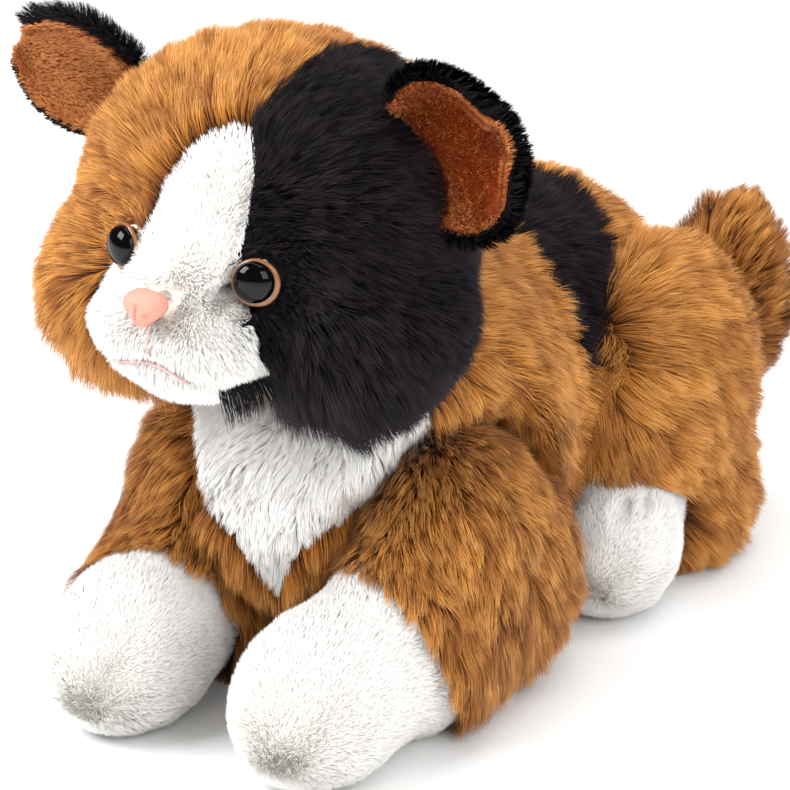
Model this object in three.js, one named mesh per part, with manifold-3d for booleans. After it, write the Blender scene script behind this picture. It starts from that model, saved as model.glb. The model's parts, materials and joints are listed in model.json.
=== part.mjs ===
// Plush cat lying on its belly. Millimetres, +Z up. The cat faces -Y and its left side is +X.
import * as THREE from "three";
import { mergeVertices } from "three/addons/utils/BufferGeometryUtils.js";
import Module from "manifold-3d";

const wasm = await Module();
wasm.setup();

// ---- driving dimensions ----
const SKIN = 4;             // fabric backing with the pile's dense lower half
const FILL_GAP = 1;         // between a skin's inside and its stuffing
const GAP = 0.3;            // between touching pieces
const SOCKET_ROOM = 2.2;    // round a limb in its socket
const OUTER_DETAIL = { head: 4, body: 4, limb: 3, tail: 3 };
const INNER_DETAIL = { head: 3, body: 3, limb: 2, tail: 2 };
const SOCKET_DETAIL = 3;

const HEAD_ROLL = 4.4;      // degrees, the left ear hangs lower
const HEAD_CENTRE = [0, -88, 168];
const NECK_PIVOT = [0, -30, 84];
const NECK_RADIUS = 66;     // the head slides over a dome of this radius
const NECK_ROOM = 2.5;      // between that dome and the head
const NECK_TILT = 30;       // degrees the neck leans forward from the vertical
const NECK_PLUG_RADIUS = 22;
const NECK_OPENING_RADIUS = 36;

const EYE = { x: 24, y: -133, z: 167, radius: 7.5, height: 5.5, side: 22, lift: 4 };
const NOSE = { y: -156, z: 160, width: 14, height: 11, depth: 4.5 };
const SHANK_RADIUS = 2;
const WASHER = { radius: 7, thickness: 1.5 };

const LEG_PIVOT = [50, -12, 42];
const LEG_INNER_X = 13;
const CUFFS = {
  left: { point: [38, -82, 34], normal: [-0.3, -0.84, -0.45] },
  right: { point: [38, -101, 34], normal: [-0.4, -0.86, -0.31] },
};
const THIGH_INNER_X = 36;
const HIP_PIVOT = [50, 80, 70];
const FOOT_SEAM = { point: [64, 40, 50], normal: [0.1, -0.45, -0.89] };
const FOOT_BACK = { point: [60, 68, 20], normal: [0, -1, 0.12] };   // behind this the thigh begins
const TAIL_PIVOT = [14, 128, 54];

const EAR = {
  base: { left: [59.5, -93, 204], right: [63, -93, 201] },
  out: [0.877, -0.21, 0.43],
  across: [-0.525, -0.09, 0.845],
  width: { left: 50, right: 37 },     // the right ear is pinched narrower
  length: 38,
  cup: 15,
  layer: 2.6,
};

const COLOURS = {
  ginger: 0xb8742a,
  black: 0x1b1618,
  white: 0xf1ece4,
  lining: 0xc8763a,
  nose: 0xf0ae96,
  thread: 0xe79a94,
  fibre: 0xf2f2ee,
  plastic: 0xe8e6df,
  amber: 0xb57a4a,
  pupil: 0x0b0908,
  bag: 0xd9d4c8,
};

// ---- small helpers ----
const vector = (list) => new THREE.Vector3(...list);
const sided = (list, side) => [side * list[0], list[1], list[2]];

function solidOf(geometry) {
  const bare = geometry.clone();
  bare.deleteAttribute("normal");
  bare.deleteAttribute("uv");
  const merged = mergeVertices(bare, 1e-4);
  return new wasm.Manifold(new wasm.Mesh({
    numProp: 3,
    vertProperties: new Float32Array(merged.attributes.position.array),
    triVerts: new Uint32Array(merged.index.array),
  }));
}

function geometryOf(solid) {
  const mesh = solid.getMesh();
  const geometry = new THREE.BufferGeometry();
  geometry.setAttribute("position", new THREE.BufferAttribute(new Float32Array(mesh.vertProperties), 3));
  geometry.setIndex(new THREE.BufferAttribute(new Uint32Array(mesh.triVerts), 1));
  geometry.computeVertexNormals();
  return geometry;
}

// ---- soft forms: distance fields that melt into each other ----
function ellipsoid(centre, radii, turn = [0, 0, 0]) {
  const euler = new THREE.Euler(...turn.map(THREE.MathUtils.degToRad));
  const toLocal = new THREE.Matrix4().makeRotationFromEuler(euler).setPosition(vector(centre)).invert();
  return (point) => {
    const q = point.clone().applyMatrix4(toLocal);
    const near = Math.hypot(q.x / radii[0], q.y / radii[1], q.z / radii[2]);
    const slope = Math.hypot(q.x / radii[0] ** 2, q.y / radii[1] ** 2, q.z / radii[2] ** 2);
    return near * (near - 1) / Math.max(slope, 1e-6);
  };
}

function melt(fields, softness) {
  return (point) => fields.map((field) => field(point)).reduce((a, b) => {
    const share = Math.max(softness - Math.abs(a - b), 0) / softness;
    return Math.min(a, b) - share * share * softness / 4;
  });
}

// the surface of a form, seen from a point inside it, moved inwards by an inset
function surface(field, centre, detail, inset = 0) {
  const geometry = mergeVertices(bareIcosphere(detail), 1e-4);
  const position = geometry.attributes.position;
  const middle = vector(centre);
  const reach = 240;
  const step = 2;
  for (let i = 0; i < position.count; i += 1) {
    const direction = new THREE.Vector3().fromBufferAttribute(position, i).normalize();
    const value = (r) => field(direction.clone().multiplyScalar(r).add(middle)) + inset;
    let outside = reach;
    while (outside > step && value(outside - step) > 0) outside -= step;
    let inside = outside - step;
    for (let halving = 0; halving < 18; halving += 1) {
      const half = (inside + outside) / 2;
      if (value(half) > 0) outside = half;
      else inside = half;
    }
    const found = direction.multiplyScalar(inside).add(middle);
    position.setXYZ(i, found.x, found.y, found.z);
  }
  return solidOf(geometry);
}

function bareIcosphere(detail) {
  const ball = new THREE.IcosahedronGeometry(1, detail);
  ball.deleteAttribute("normal");
  ball.deleteAttribute("uv");
  return ball;
}

// a stuffed form: its fabric shell and the stuffing inside, pressed flat where it rests on the floor
function sewn(field, centre, outerDetail, innerDetail) {
  const above = (z) => block([-200, -220, z], [200, 220, 260]);
  const outer = surface(field, centre, outerDetail).intersect(above(0));
  const inner = surface(field, centre, innerDetail, SKIN).intersect(above(SKIN));
  return {
    field,
    centre,
    shell: outer.subtract(inner),
    core: surface(field, centre, innerDetail, SKIN + FILL_GAP).intersect(above(SKIN + FILL_GAP)),
  };
}

// ---- cutters ----
function ball(centre, radius, detail = 7) {
  const geometry = bareIcosphere(detail);
  geometry.scale(radius, radius, radius);
  geometry.translate(...centre);
  return solidOf(geometry);
}

function block(low, high) {
  const size = high.map((value, i) => value - low[i]);
  const geometry = new THREE.BoxGeometry(...size);
  geometry.translate(...low.map((value, i) => value + size[i] / 2));
  return solidOf(geometry);
}

// everything further out on one side than a given distance from the middle
function outsideOf(side, x) {
  return side > 0 ? block([x, -220, -20], [220, 220, 240]) : block([-220, -220, -20], [-x, 220, 240]);
}

// everything on the side of a plane that its normal points to
function halfSpace(point, normal, shift = 0, reach = 400) {
  const geometry = new THREE.BoxGeometry(2 * reach, 2 * reach, reach);
  geometry.translate(0, 0, reach / 2);
  const unit = vector(normal).normalize();
  geometry.applyQuaternion(new THREE.Quaternion().setFromUnitVectors(new THREE.Vector3(0, 0, 1), unit));
  const place = vector(point).addScaledVector(unit, shift);
  geometry.translate(place.x, place.y, place.z);
  return solidOf(geometry);
}

// a closed smooth outline, grown outwards by a margin
function outline(points, margin, samples) {
  const corners = points.map(([u, v]) => new THREE.Vector3(u, v, 0));
  const curve = new THREE.CatmullRomCurve3(corners, true, "centripetal");
  const ring = curve.getPoints(samples).slice(0, samples);
  const outward = THREE.ShapeUtils.area(ring) > 0 ? margin : -margin;
  const grown = ring.map((point, i) => {
    const before = ring[(i + samples - 1) % samples];
    const after = ring[(i + 1) % samples];
    const along = after.clone().sub(before).normalize();
    return new THREE.Vector2(point.x + along.y * outward, point.y - along.x * outward);
  });
  return new THREE.Shape(grown);
}

// a prism over an outline in the XZ plane, running from one Y to another
function prismAlongY(points, yLow, yHigh, margin = 0, samples = 22) {
  const geometry = new THREE.ExtrudeGeometry(outline(points, margin, samples), {
    depth: yHigh - yLow + 2 * margin,
    bevelEnabled: false,
  });
  geometry.rotateX(Math.PI / 2);
  geometry.translate(0, yHigh + margin, 0);
  return solidOf(geometry);
}

// a prism over an outline in the XY plane, running from one Z to another
function prismAlongZ(points, zLow, zHigh, margin = 0, samples = 16) {
  const geometry = new THREE.ExtrudeGeometry(outline(points, margin, samples), {
    depth: zHigh - zLow + 2 * margin,
    bevelEnabled: false,
  });
  geometry.translate(0, 0, zLow - margin);
  return solidOf(geometry);
}

// a turned piece whose axis runs from a point along a direction
function turned(profile, point, direction, segments = 16) {
  const geometry = new THREE.LatheGeometry(profile.map(([r, h]) => new THREE.Vector2(r, h)), segments);
  const unit = vector(direction).normalize();
  geometry.applyQuaternion(new THREE.Quaternion().setFromUnitVectors(new THREE.Vector3(0, 1, 0), unit));
  geometry.translate(...point);
  return solidOf(geometry);
}

const cylinder = (point, direction, radius, from, to, segments = 16) =>
  turned([[0, from], [radius, from], [radius, to], [0, to]], point, direction, segments);

// the space a form passes through as it turns about an axis, with a little room round it
function swept(form, pivot, axis, degrees, steps) {
  const unit = vector(axis).normalize();
  const turns = [];
  for (let i = 0; i <= steps; i += 1) {
    const angle = THREE.MathUtils.degToRad(degrees[0] + (degrees[1] - degrees[0]) * i / steps);
    const aboutPivot = new THREE.Matrix4().makeTranslation(...pivot)
      .multiply(new THREE.Matrix4().makeRotationAxis(unit, -angle))
      .multiply(new THREE.Matrix4().makeTranslation(...pivot.map((value) => -value)));
    turns.push(aboutPivot);
  }
  const passed = (point) => Math.min(
    ...turns.map((turn) => form.field(point.clone().applyMatrix4(turn))),
  );
  return surface(passed, form.centre, SOCKET_DETAIL, -SOCKET_ROOM);
}

// the largest closed piece of a solid, with crumbs left by cutting dropped
function mainPiece(solid) {
  const pieces = solid.decompose();
  return pieces.reduce((a, b) => (b.volume() > a.volume() ? b : a));
}

const group = new THREE.Group();

function add(name, solid, colour, roughness) {
  const material = new THREE.MeshStandardMaterial({ color: colour, roughness, metalness: 0 });
  const mesh = new THREE.Mesh(geometryOf(mainPiece(solid)), material);
  mesh.name = name;
  group.add(mesh);
}

// ---- head ----
const rollMatrix = new THREE.Matrix4()
  .makeTranslation(...HEAD_CENTRE)
  .multiply(new THREE.Matrix4().makeRotationY(THREE.MathUtils.degToRad(HEAD_ROLL)))
  .multiply(new THREE.Matrix4().makeTranslation(...HEAD_CENTRE.map((value) => -value)));
const unrollMatrix = rollMatrix.clone().invert();
const rolled = (solid) => solid.transform(rollMatrix.elements.slice());
const rolledPoint = (list) => vector(list).applyMatrix4(rollMatrix).toArray();
const rolledDirection = (list) => vector(list).transformDirection(rollMatrix).toArray();

const headForm = melt([
  ellipsoid([0, -84, 171], [64, 50, 54]),
  ellipsoid([0, -66, 172], [54, 48, 50]),
  ellipsoid([40, -95, 147], [33, 35, 29]),
  ellipsoid([-40, -97, 144], [33, 35, 32]),
  ellipsoid([0, -126, 156], [30, 22, 26]),
  ellipsoid([13, -139, 146], [17, 19, 15]),
  ellipsoid([-13, -139, 146], [17, 19, 15]),
  ellipsoid([0, -129, 134], [17, 18, 12]),
], 9);
const head = sewn(
  (point) => headForm(point.clone().applyMatrix4(unrollMatrix)),
  [0, -95, 162],
  OUTER_DETAIL.head,
  INNER_DETAIL.head,
);
const neckLean = THREE.MathUtils.degToRad(NECK_TILT);
const neckAxis = [0, -Math.sin(neckLean), Math.cos(neckLean)];
const neckDome = ball(NECK_PIVOT, NECK_RADIUS + NECK_ROOM, 4);

// fabric panels of the head, drawn from the front as [x, z]
const blazeOutline = [
  [4, 207], [-5, 202], [-12, 190], [-15, 176], [-28, 161], [-37, 147], [-30, 136], [-12, 138],
  [0, 141], [12, 138], [24, 137], [28, 145], [25, 157], [19, 166], [17, 176], [16, 190], [12, 204],
];
const chinOutline = [
  [-27, 134], [-12, 137], [0, 140], [12, 137], [22, 134], [19, 118], [0, 108], [-26, 118],
];
const blackOutline = [
  [10, 208], [12, 222], [24, 232], [44, 238], [90, 240], [100, 160], [90, 90], [30, 90],
  [22, 112], [20, 134], [14, 150], [10, 172], [9, 190],
];
const FRONT = -230;
const blaze = (margin) => rolled(prismAlongY(blazeOutline, FRONT, -100, margin));
const chin = (margin) => rolled(prismAlongY(chinOutline, FRONT, -84, margin));
const black = (margin) => rolled(prismAlongY(blackOutline, FRONT, -52, margin));

// ---- eyes, nose and their shanks ----
function safetyEye(side) {
  const radian = THREE.MathUtils.degToRad;
  const facing = rolledDirection([
    side * Math.sin(radian(EYE.side)),
    -Math.cos(radian(EYE.side)) * Math.cos(radian(EYE.lift)),
    Math.sin(radian(EYE.lift)),
  ]);
  const seat = rolledPoint([side * EYE.x, EYE.y, EYE.z]);
  const dome = [[0, 1.5 + GAP]];
  const rim = EYE.radius - 1.1;
  for (let i = 0; i <= 5; i += 1) {
    const angle = i / 5 * Math.PI / 2;
    dome.push([rim * Math.cos(angle), 1.5 + GAP + (EYE.height - 1.5) * Math.sin(angle)]);
  }
  dome[dome.length - 1][0] = 0;
  return {
    iris: turned([
      [0, -11], [SHANK_RADIUS, -11], [SHANK_RADIUS, 0], [EYE.radius - 0.8, 0],
      [EYE.radius, 0.8], [EYE.radius - 0.9, 1.5], [0, 1.5],
    ], seat, facing),
    pupil: turned(dome, seat, facing),
    washer: cylinder(seat, facing, WASHER.radius, -9, -9 + WASHER.thickness)
      .subtract(cylinder(seat, facing, SHANK_RADIUS + GAP, -10, -7)),
    socket: cylinder(seat, facing, EYE.radius + GAP, -GAP, 30)
      .add(cylinder(seat, facing, SHANK_RADIUS + GAP, -20, 1)),
    pocket: cylinder(seat, facing, WASHER.radius + GAP, -12, 4),
  };
}

function moulded(point) {
  const shape = new THREE.Shape();
  const w = NOSE.width / 2;
  const h = NOSE.height;
  shape.moveTo(0, -h * 0.55);
  shape.bezierCurveTo(w * 0.5, -h * 0.5, w, h * 0.1, w, h * 0.3);
  shape.bezierCurveTo(w, h * 0.5, w * 0.4, h * 0.45, 0, h * 0.4);
  shape.bezierCurveTo(-w * 0.4, h * 0.45, -w, h * 0.5, -w, h * 0.3);
  shape.bezierCurveTo(-w, h * 0.1, -w * 0.5, -h * 0.5, 0, -h * 0.55);
  const geometry = new THREE.ExtrudeGeometry(shape, {
    depth: NOSE.depth - 2.4,
    bevelThickness: 1.2,
    bevelSize: 1,
    bevelOffset: -1,
    bevelSegments: 2,
    curveSegments: 4,
  });
  geometry.translate(0, 0, 1.2);
  geometry.rotateX(Math.PI / 2);
  geometry.translate(...point);
  return solidOf(geometry);
}

const nosePoint = [0, NOSE.y, NOSE.z];
const noseFacing = [0, -0.97, 0.24];
const noseShank = cylinder(nosePoint, noseFacing, SHANK_RADIUS, -16, 0.5, 12);
const noseSolid = rolled(moulded(nosePoint).add(noseShank));
const noseWasher = rolled(cylinder(nosePoint, noseFacing, WASHER.radius - 1, -14, -14 + WASHER.thickness, 12)
  .subtract(cylinder(nosePoint, noseFacing, SHANK_RADIUS + GAP, -15, -12, 12)));
const noseSeat = rolled(moulded(nosePoint).translate([-nosePoint[0], -nosePoint[1], -nosePoint[2]])
  .scale([1.07, 1.2, 1.07]).translate([nosePoint[0], nosePoint[1] - 0.1, nosePoint[2]])
  .add(cylinder(nosePoint, noseFacing, SHANK_RADIUS + GAP, -20, 0.5, 16)));
const nosePocket = rolled(cylinder(nosePoint, noseFacing, WASHER.radius - 1 + GAP, -17, 6, 12));

const eyes = { left: safetyEye(1), right: safetyEye(-1) };

// ---- mouth: one embroidered thread below the nose, splitting towards both cheeks ----
function threadAlong(points, radius, steps) {
  const section = new THREE.Shape();
  section.absarc(0, 0, radius, 0, 2 * Math.PI, false);
  const path = new THREE.CatmullRomCurve3(points.map(vector));
  return solidOf(new THREE.ExtrudeGeometry(section, { steps, extrudePath: path, curveSegments: 3 }));
}

// the height of the muzzle's surface in front of a point
function onFace(x, z, proud) {
  let y = FRONT;
  while (headForm(new THREE.Vector3(x, y, z)) > proud) y += 0.25;
  return [x, y, z];
}

const THREAD_RADIUS = 0.6;
const threadHeight = THREAD_RADIUS + 2 * GAP;
const philtrum = [151, 147, 143, 140].map((z) => onFace(0, z, threadHeight));
const smile = [-1, -0.75, -0.5, -0.25, 0, 0.25, 0.5, 0.75, 1].map(
  (u) => onFace(14 * u, 140 - 3 * u * u, threadHeight),
);
const mouthThread = rolled(
  threadAlong(philtrum, THREAD_RADIUS, 4).add(threadAlong(smile, THREAD_RADIUS, 12)),
);

// ---- body with its sockets ----
const body = sewn(
  melt([
    ellipsoid([0, -30, 84], [65, 63, 65.4]),
    ellipsoid([0, -68, 70], [42, 40, 37]),
    ellipsoid([0, 74, 76], [60, 58, 68]),
    ellipsoid([0, 25, 78], [52, 70, 66]),
    ellipsoid([0, 30, 27], [46, 86, 40]),
  ], 14),
  [0, 22, 70],
  OUTER_DETAIL.body,
  INNER_DETAIL.body,
);

function frontLeg(side) {
  const at = (list) => sided(list, side);
  return sewn(
    melt([
      ellipsoid(at([37, -121, 25]), [27.5, 38, 31]),
      ellipsoid(at([43, -74, 32]), [29, 44, 38]),
      ellipsoid(at([47, -28, 38]), [27, 38, 42]),
      ellipsoid(at([47, -55, 62]), [26, 34, 38]),
    ], 10),
    at([41, -88, 30]),
    OUTER_DETAIL.limb,
    INNER_DETAIL.limb,
  );
}

function hindLeg(side) {
  const at = (list) => sided(list, side);
  return sewn(
    melt([
      ellipsoid(at([50, 84, 68]), [32, 53, 58]),
      ellipsoid(at([62, 38, 21]), [24, 31, 25]),
      ellipsoid(at([56, 96, 24]), [27, 38, 30]),
    ], 10),
    at([56, 68, 42]),
    OUTER_DETAIL.limb,
    INNER_DETAIL.limb,
  );
}

const tail = sewn(
  melt([
    ellipsoid([14, 134, 52], [20, 22, 21]),
    ellipsoid([34, 154, 56], [22, 19, 22]),
    ellipsoid([50, 158, 78], [21, 20, 28]),
    ellipsoid([50, 157, 101], [18, 18, 24]),
  ], 12),
  [40, 154, 68],
  OUTER_DETAIL.tail,
  INNER_DETAIL.tail,
);

const RANGES = { lift: [0, 17], hip: [0, 11], tail: [0, 13] };   // with a little to spare
const legAxis = (side) => [-1, 0, side * 0.3];
const insideLegRoom = (side, margin = 0) => outsideOf(side, LEG_INNER_X - margin);
const outsideThighPlane = (side, margin = 0) => outsideOf(side, THIGH_INNER_X - margin);

const sides = [["left", 1], ["right", -1]];
let bodySpace = null;
const clear = (solid) => {
  bodySpace = bodySpace ? bodySpace.add(solid) : solid;
};

const frontLegs = {};
const hindLegs = {};
for (const [name, side] of sides) {
  const front = frontLeg(side);
  const hind = hindLeg(side);
  const room = insideLegRoom(side);
  const plane = outsideThighPlane(side);
  front.shell = front.shell.intersect(room);
  hind.shell = hind.shell.intersect(plane);
  frontLegs[name] = front;
  hindLegs[name] = hind;
  const lifted = swept(front, sided(LEG_PIVOT, side), legAxis(side), RANGES.lift, 5);
  const swung = swept(hind, sided(HIP_PIVOT, side), [-1, 0, 0], RANGES.hip, 4);
  clear(lifted.intersect(insideLegRoom(side, GAP)));
  clear(swung.intersect(outsideThighPlane(side, GAP)));
}
clear(swept(tail, TAIL_PIVOT, [0, 0, 1], RANGES.tail, 4));

// ---- body panels ----
const bibOutline = [
  [-50, 150], [-52, 118], [-42, 90], [-24, 75], [-10, 72], [-2, 62], [4, 48], [11, 62], [26, 80],
  [40, 84], [42, 118], [38, 150],
];
const patchOutline = [[-30, 34], [8, 26], [44, 22], [60, 30], [62, 56], [44, 62], [10, 74], [-28, 66]];
const bib = (margin) => prismAlongY(bibOutline, FRONT, -48, margin);
const patch = (margin) => prismAlongZ(patchOutline, 96, 220, margin);
const BELLY_TOP = 9;
const belly = (margin) => block([-200, -200, -50], [200, 200, BELLY_TOP + margin]);
const neckHole = cylinder(NECK_PIVOT, neckAxis, NECK_OPENING_RADIUS, 20, 120, 32);

const bodyShell = body.shell.subtract(bodySpace).subtract(neckHole);
const trimmed = bodyShell.subtract(bib(GAP)).subtract(patch(GAP)).subtract(belly(GAP));
const leftHalf = halfSpace([0, 0, 0], [1, 0, 0], GAP / 2);
const rightHalf = halfSpace([0, 0, 0], [-1, 0, 0], GAP / 2);
add("body_side_left", trimmed.intersect(leftHalf), COLOURS.ginger, 0.9);
add("body_side_right", trimmed.intersect(rightHalf), COLOURS.ginger, 0.9);
add("bib_panel", bodyShell.intersect(bib(0)).subtract(belly(GAP)), COLOURS.white, 0.9);
add("back_patch", bodyShell.intersect(patch(0)), COLOURS.black, 0.9);
add("belly_panel", bodyShell.intersect(belly(0)), COLOURS.ginger, 0.9);

// ---- pellet bag low in the rump, and the stuffing round it ----
const PELLET_BAG = { centre: [0, 62, 26], radii: [26, 34, 15] };
const bagForm = ellipsoid(PELLET_BAG.centre, PELLET_BAG.radii);
const bagRoom = surface(bagForm, PELLET_BAG.centre, 3, -FILL_GAP);
const bagThroat = cylinder([PELLET_BAG.centre[0], PELLET_BAG.centre[1], 0], [0, 0, 1], 12, 0, 30, 16);
add("pellet_bag", surface(bagForm, PELLET_BAG.centre, 3), COLOURS.bag, 0.8);

const neckPlugLow = 52;
const neckPlugHigh = 84;
const plugProfile = [
  [0, neckPlugLow], [NECK_PLUG_RADIUS - 4, neckPlugLow], [NECK_PLUG_RADIUS, neckPlugLow + 5],
  [NECK_PLUG_RADIUS, neckPlugHigh - 5], [NECK_PLUG_RADIUS - 4, neckPlugHigh], [0, neckPlugHigh],
];
const neckPlug = turned(plugProfile, NECK_PIVOT, neckAxis, 24);
const neckRoomInBody = cylinder(NECK_PIVOT, neckAxis, NECK_OPENING_RADIUS, neckPlugLow - 4, 120, 32);
add("neck_stuffing", neckPlug, COLOURS.fibre, 1);
add(
  "body_stuffing",
  body.core.subtract(bodySpace).subtract(neckRoomInBody).subtract(bagRoom).subtract(bagThroat),
  COLOURS.fibre,
  1,
);

// ---- head pieces ----
const plugRoomInHead = cylinder(NECK_PIVOT, neckAxis, NECK_PLUG_RADIUS + 1, 40, neckPlugHigh + 1, 32);
const faceHoles = eyes.left.socket.add(eyes.right.socket).add(noseSeat);
const headShell = head.shell.subtract(neckDome).subtract(faceHoles);
const headRest = headShell.subtract(blaze(GAP)).subtract(chin(GAP));
add("head_panel_ginger", headRest.subtract(black(GAP)), COLOURS.ginger, 0.9);
add("head_panel_black", headRest.intersect(black(0)), COLOURS.black, 0.9);
add("blaze_muzzle_panel", headShell.intersect(blaze(0)).subtract(chin(GAP)), COLOURS.white, 0.9);
add("chin_panel", headShell.intersect(chin(0)), COLOURS.white, 0.9);
add(
  "head_stuffing",
  head.core.subtract(neckDome).subtract(plugRoomInHead)
    .subtract(eyes.left.pocket).subtract(eyes.right.pocket).subtract(nosePocket),
  COLOURS.fibre,
  1,
);
for (const [name] of sides) {
  add(`eye_iris_${name}`, eyes[name].iris, COLOURS.amber, 0.25);
  add(`eye_pupil_${name}`, eyes[name].pupil, COLOURS.pupil, 0.08);
  add(`eye_washer_${name}`, eyes[name].washer, COLOURS.plastic, 0.5);
}
add("nose", noseSolid, COLOURS.nose, 0.6);
add("nose_washer", noseWasher, COLOURS.plastic, 0.5);
add("mouth_thread", mouthThread, COLOURS.thread, 0.8);

// ---- ears: a cupped leaf, open to the front, in two fabric layers ----
const EAR_ROWS = 5;
const EAR_COLUMNS = 10;
const EAR_BEND = 1.35;      // radians the cup turns through on each side of its middle

// half the ear's width, as a share of its widest, at a share t of its length
function earHalf(t) {
  const widest = 0.38;
  if (t < widest) return 0.8 + 0.2 * Math.sin(t / widest * Math.PI / 2);
  return Math.sqrt(1 - ((t - widest) / (1 - widest)) ** 2);
}

function earLayer(name, side, front, back) {
  const out = vector(EAR.out).normalize();
  const rear = new THREE.Vector3().crossVectors(vector(EAR.across), out).normalize();
  if (rear.y < 0) rear.negate();
  const across = new THREE.Vector3().crossVectors(out, rear).normalize();
  if (across.z < 0) across.negate();
  const base = vector(EAR.base[name]);
  const at = (u, t, depth) => {
    const half = EAR.width[name] / 2 * earHalf(t);
    const bend = u * EAR_BEND;
    const cup = EAR.cup * (1 - 0.45 * t) + depth;
    const place = base.clone()
      .addScaledVector(out, EAR.length * t - 6)
      .addScaledVector(across, half * Math.sin(bend) / Math.sin(EAR_BEND) + depth * Math.sin(bend))
      .addScaledVector(rear, cup * Math.cos(bend) - EAR.cup * 0.5);
    return place.set(side * place.x, place.y, place.z).applyMatrix4(rollMatrix);
  };
  const points = [];
  const lastT = 0.965;
  for (const depth of [front, back]) {
    for (let i = 0; i <= EAR_ROWS; i += 1) {
      for (let j = 0; j <= EAR_COLUMNS; j += 1) {
        points.push(at(2 * j / EAR_COLUMNS - 1, lastT * i / EAR_ROWS, depth));
      }
    }
  }
  const row = EAR_COLUMNS + 1;
  const sheet = row * (EAR_ROWS + 1);
  const index = [];
  const quad = (a, b, c, d) => index.push(a, b, c, a, c, d);
  for (let i = 0; i < EAR_ROWS; i += 1) {
    for (let j = 0; j < EAR_COLUMNS; j += 1) {
      const a = i * row + j;
      quad(a, a + 1, a + row + 1, a + row);
      quad(a + sheet, a + row + sheet, a + row + 1 + sheet, a + 1 + sheet);
    }
  }
  for (let j = 0; j < EAR_COLUMNS; j += 1) {
    const top = EAR_ROWS * row + j;
    quad(j, j + sheet, j + 1 + sheet, j + 1);
    quad(top, top + 1, top + 1 + sheet, top + sheet);
  }
  for (let i = 0; i < EAR_ROWS; i += 1) {
    const left = i * row;
    const right = left + EAR_COLUMNS;
    quad(left, left + row, left + row + sheet, left + sheet);
    quad(right, right + sheet, right + row + sheet, right + row);
  }
  if (side < 0) index.reverse();
  const geometry = new THREE.BufferGeometry();
  const numbers = points.flatMap((point) => point.toArray());
  geometry.setAttribute("position", new THREE.Float32BufferAttribute(numbers, 3));
  geometry.setIndex(index);
  const solid = solidOf(geometry);
  return solid.volume() > 0 ? solid : solidOf(flipped(geometry));
}

function flipped(geometry) {
  const turnedOver = geometry.clone();
  turnedOver.setIndex(Array.from(geometry.index.array).reverse());
  return turnedOver;
}

const EAR_ROOM = 2.5;
const headRoom = surface(
  (point) => headForm(point.clone().applyMatrix4(unrollMatrix)),
  [0, -95, 162],
  OUTER_DETAIL.head,
  -EAR_ROOM,
);
for (const [name, side] of sides) {
  add(`ear_lining_${name}`, earLayer(name, side, -EAR.layer, 0).subtract(headRoom), COLOURS.lining, 0.95);
  add(`ear_back_${name}`, earLayer(name, side, GAP, GAP + EAR.layer).subtract(headRoom), COLOURS.black, 0.95);
}

// ---- legs ----
for (const [name, side] of sides) {
  const { shell, core } = frontLegs[name];
  const seam = sided(CUFFS[name].point, side);
  const forward = sided(CUFFS[name].normal, side);
  const backward = forward.map((value) => -value);
  add(`paw_${name}`, shell.intersect(halfSpace(seam, forward, GAP / 2)), COLOURS.white, 0.9);
  add(`sleeve_${name}`, shell.intersect(halfSpace(seam, backward, GAP / 2)), COLOURS.ginger, 0.9);
  add(`front_leg_stuffing_${name}`, core.intersect(insideLegRoom(side, -SKIN)), COLOURS.fibre, 1);
}
for (const [name, side] of sides) {
  const seam = sided(FOOT_SEAM.point, side);
  const down = sided(FOOT_SEAM.normal, side);
  const footBack = sided(FOOT_BACK.point, side);
  const foot = halfSpace(seam, down, GAP / 2).intersect(halfSpace(footBack, FOOT_BACK.normal));
  const notThigh = halfSpace(seam, down, -GAP / 2)
    .intersect(halfSpace(footBack, FOOT_BACK.normal, -GAP));
  const { shell, core } = hindLegs[name];
  add(`hind_foot_${name}`, shell.intersect(foot), COLOURS.white, 0.9);
  add(`thigh_${name}`, shell.subtract(notThigh), COLOURS.ginger, 0.9);
  add(`hind_leg_stuffing_${name}`, core.intersect(outsideThighPlane(side, -SKIN)), COLOURS.fibre, 1);
}

// ---- tail: open at its root, where the stuffing goes in ----
const tailMouth = halfSpace(TAIL_PIVOT, [-0.5, -0.85, 0], 4);
add("tail_skin", tail.shell.subtract(tailMouth), COLOURS.ginger, 0.9);
add("tail_stuffing", tail.core.subtract(tailMouth), COLOURS.fibre, 1);

// ---- the origin sits under the middle of the whole toy ----
const box = new THREE.Box3().setFromObject(group);
const middle = box.getCenter(new THREE.Vector3());
group.position.set(-middle.x, -middle.y, -box.min.z);

export default group;
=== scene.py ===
"""A plush cat lying on its belly: sewn panels over stuffing, covered with long and short pile."""
import json
import math

import bmesh
import bpy
import numpy as np
from mathutils import Matrix, Vector
from mathutils.bvhtree import BVHTree
from mathutils.kdtree import KDTree


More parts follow.
